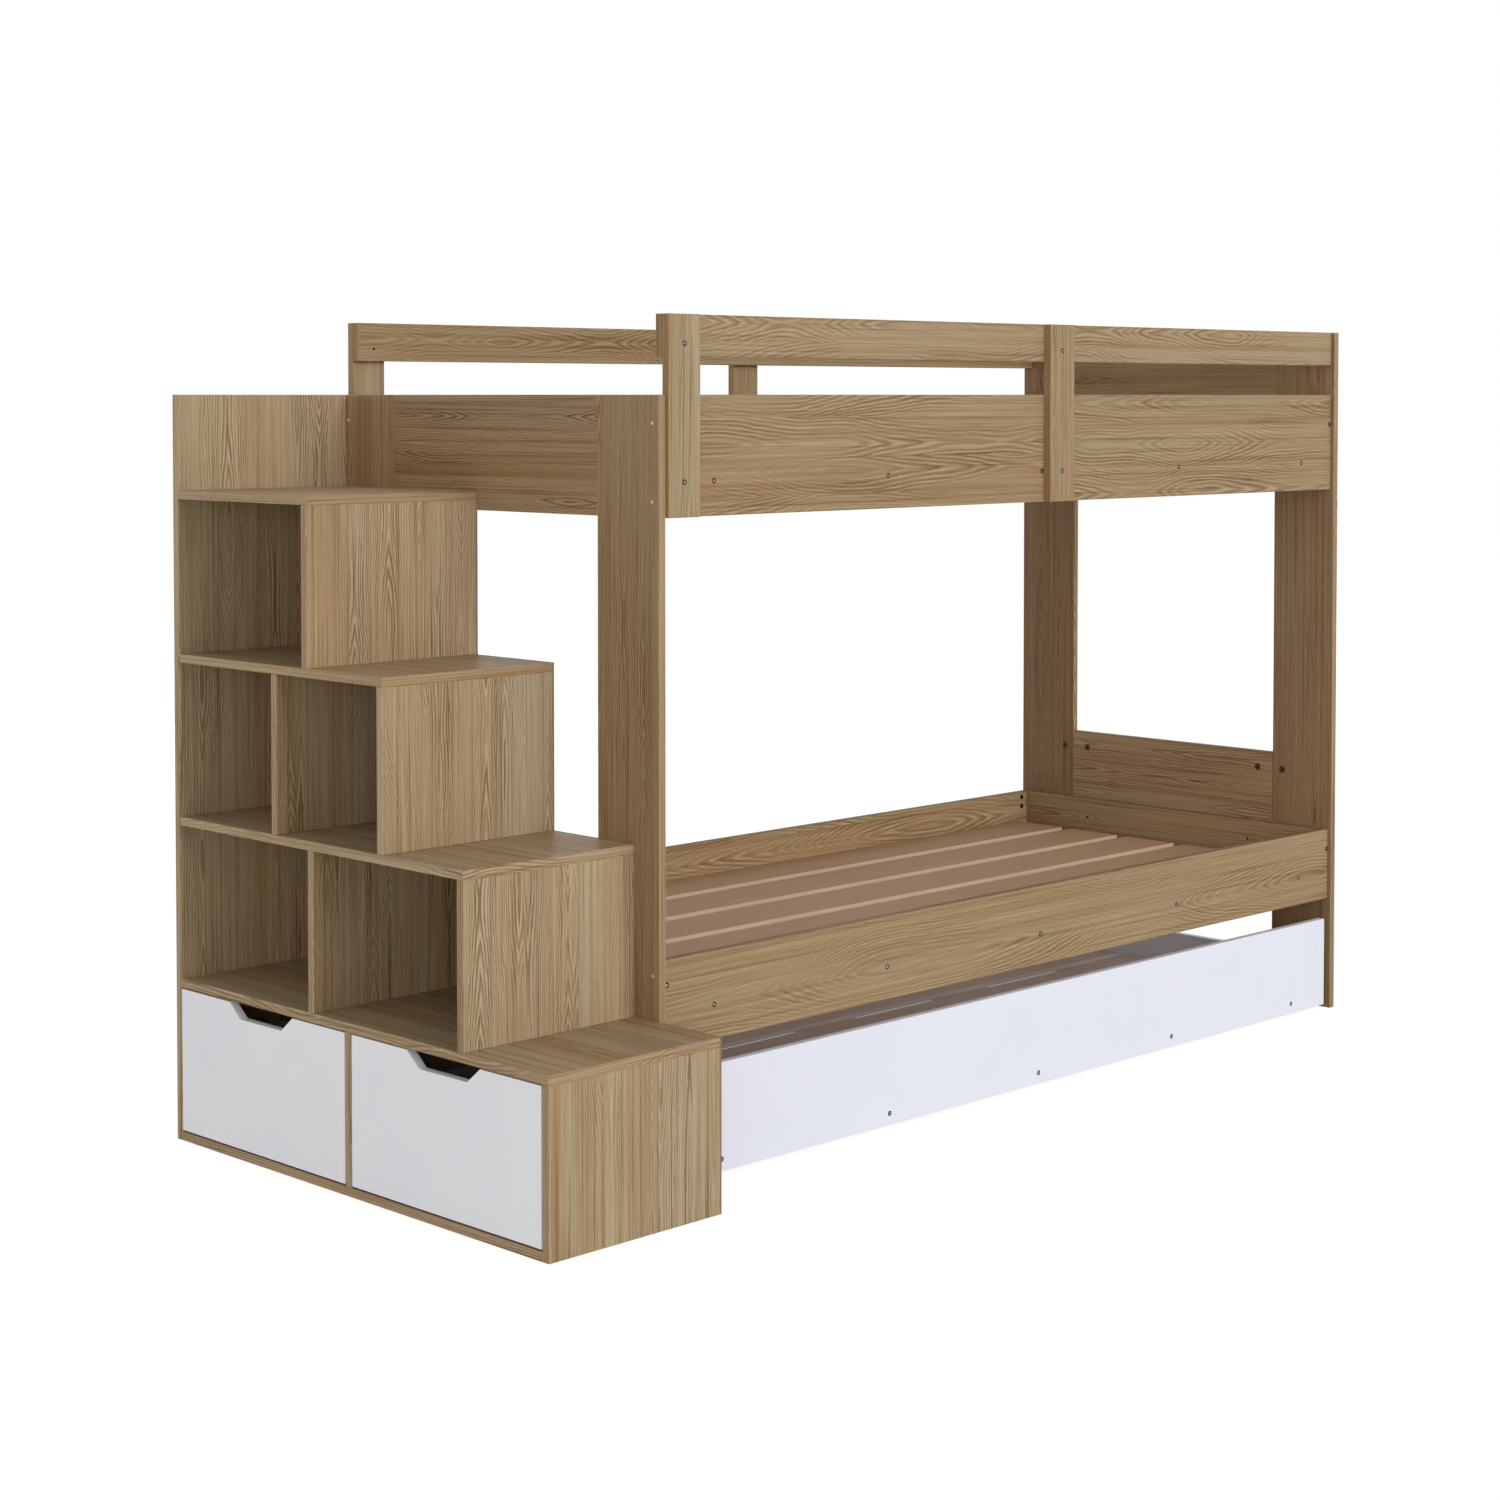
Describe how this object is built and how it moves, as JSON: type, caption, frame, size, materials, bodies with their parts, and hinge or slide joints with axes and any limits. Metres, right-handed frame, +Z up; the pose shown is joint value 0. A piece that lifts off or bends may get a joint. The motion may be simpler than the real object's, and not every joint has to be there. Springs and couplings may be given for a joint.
{
  "type": "bunk bed",
  "caption": "Oak-finish bunk bed for single mattresses with a storage stair of open cubbies and drawers at one end and a white-fronted roll-out trundle below",
  "frame": {"origin": "on the floor, under the middle of the whole outline, stair included", "axes": "+X along the bed away from the stair, +Y to the closed wall side, +Z up"},
  "size_m": [2.273, 0.97, 1.4],
  "materials": {
    "oak_board": "matt oak-print melamine",
    "white_board": "white satin melamine",
    "hardboard": "thin hardboard",
    "slat_wood": "plain sawn pine",
    "slide_metal": "white powder coat",
    "bracket_steel": "zinc plated",
    "wheel_plastic": "black nylon"
  },
  "bodies": {
    "frame": {"left_front_post": "oak_board", "left_back_post": "oak_board", "right_front_post": "oak_board", "right_back_post": "oak_board", "left_upper_end_plank": "oak_board", "left_lower_end_plank": "oak_board", "right_upper_end_plank": "oak_board", "right_lower_end_plank": "oak_board", "front_upper_plank_left": "oak_board", "front_upper_plank_right": "oak_board", "back_upper_plank_left": "oak_board", "back_upper_plank_right": "oak_board", "front_guard_rails": "oak_board", "back_guard_rails": "oak_board", "front_guard_boards": "oak_board", "back_guard_boards": "oak_board", "front_lower_rail": "oak_board", "back_lower_rail": "oak_board", "left_inner_end_rail": "oak_board", "right_inner_end_rail": "oak_board", "lower_cross_supports": "slat_wood", "lower_slats": "slat_wood", "upper_cross_supports": "slat_wood", "upper_slats": "slat_wood", "stair_back_panel": "oak_board", "stair_base_board": "oak_board", "stair_riser_1": "oak_board", "stair_tread_1": "oak_board", "stair_riser_2": "oak_board", "stair_tread_2": "oak_board", "stair_riser_3": "oak_board", "stair_tread_3": "oak_board", "stair_riser_4": "oak_board", "stair_tread_4": "oak_board", "stair_dividers": "oak_board", "stair_back_sheet": "hardboard", "drawer_slide_channels": "slide_metal"},
    "front_drawer": {"front_drawer_front": "white_board", "front_drawer_sides": "white_board", "front_drawer_back": "white_board", "front_drawer_bottom": "hardboard", "front_drawer_slides": "slide_metal"},
    "rear_drawer": {"rear_drawer_front": "white_board", "rear_drawer_sides": "white_board", "rear_drawer_back": "white_board", "rear_drawer_bottom": "hardboard", "rear_drawer_slides": "slide_metal"},
    "trundle": {"trundle_front": "white_board", "trundle_back": "white_board", "trundle_sides": "white_board", "trundle_cross_supports": "slat_wood", "trundle_slats": "slat_wood", "wheel_brackets": "bracket_steel"},
    "left_front_wheel": {"left_front_wheel": "wheel_plastic"},
    "left_back_wheel": {"left_back_wheel": "wheel_plastic"},
    "right_front_wheel": {"right_front_wheel": "wheel_plastic"},
    "right_back_wheel": {"right_back_wheel": "wheel_plastic"}
  },
  "joints": [
    {"name": "front_drawer_slide", "type": "slide", "parent": "frame", "child": "front_drawer", "axis": [-1, 0, 0], "range_m": [0, 0.22]},
    {"name": "rear_drawer_slide", "type": "slide", "parent": "frame", "child": "rear_drawer", "axis": [-1, 0, 0], "range_m": [0, 0.22]},
    {"name": "trundle_roll", "type": "slide", "parent": "frame", "child": "trundle", "axis": [0, -1, 0], "range_m": [0, 0.75]},
    {"name": "left_front_wheel_spin", "type": "hinge", "parent": "trundle", "child": "left_front_wheel", "pos_m": [-0.7334, -0.231, 0.016], "axis": [1, 0, 0], "continuous": true},
    {"name": "left_back_wheel_spin", "type": "hinge", "parent": "trundle", "child": "left_back_wheel", "pos_m": [-0.7334, 0.373, 0.016], "axis": [1, 0, 0], "continuous": true},
    {"name": "right_front_wheel_spin", "type": "hinge", "parent": "trundle", "child": "right_front_wheel", "pos_m": [1.0864, -0.231, 0.016], "axis": [1, 0, 0], "continuous": true},
    {"name": "right_back_wheel_spin", "type": "hinge", "parent": "trundle", "child": "right_back_wheel", "pos_m": [1.0864, 0.373, 0.016], "axis": [1, 0, 0], "continuous": true}
  ],
  "couplings": [
    {"joint": "left_front_wheel_spin", "follows": "trundle_roll", "rad_per_m": 62.5},
    {"joint": "left_back_wheel_spin", "follows": "trundle_roll", "rad_per_m": 62.5},
    {"joint": "right_front_wheel_spin", "follows": "trundle_roll", "rad_per_m": 62.5},
    {"joint": "right_back_wheel_spin", "follows": "trundle_roll", "rad_per_m": 62.5}
  ]
}
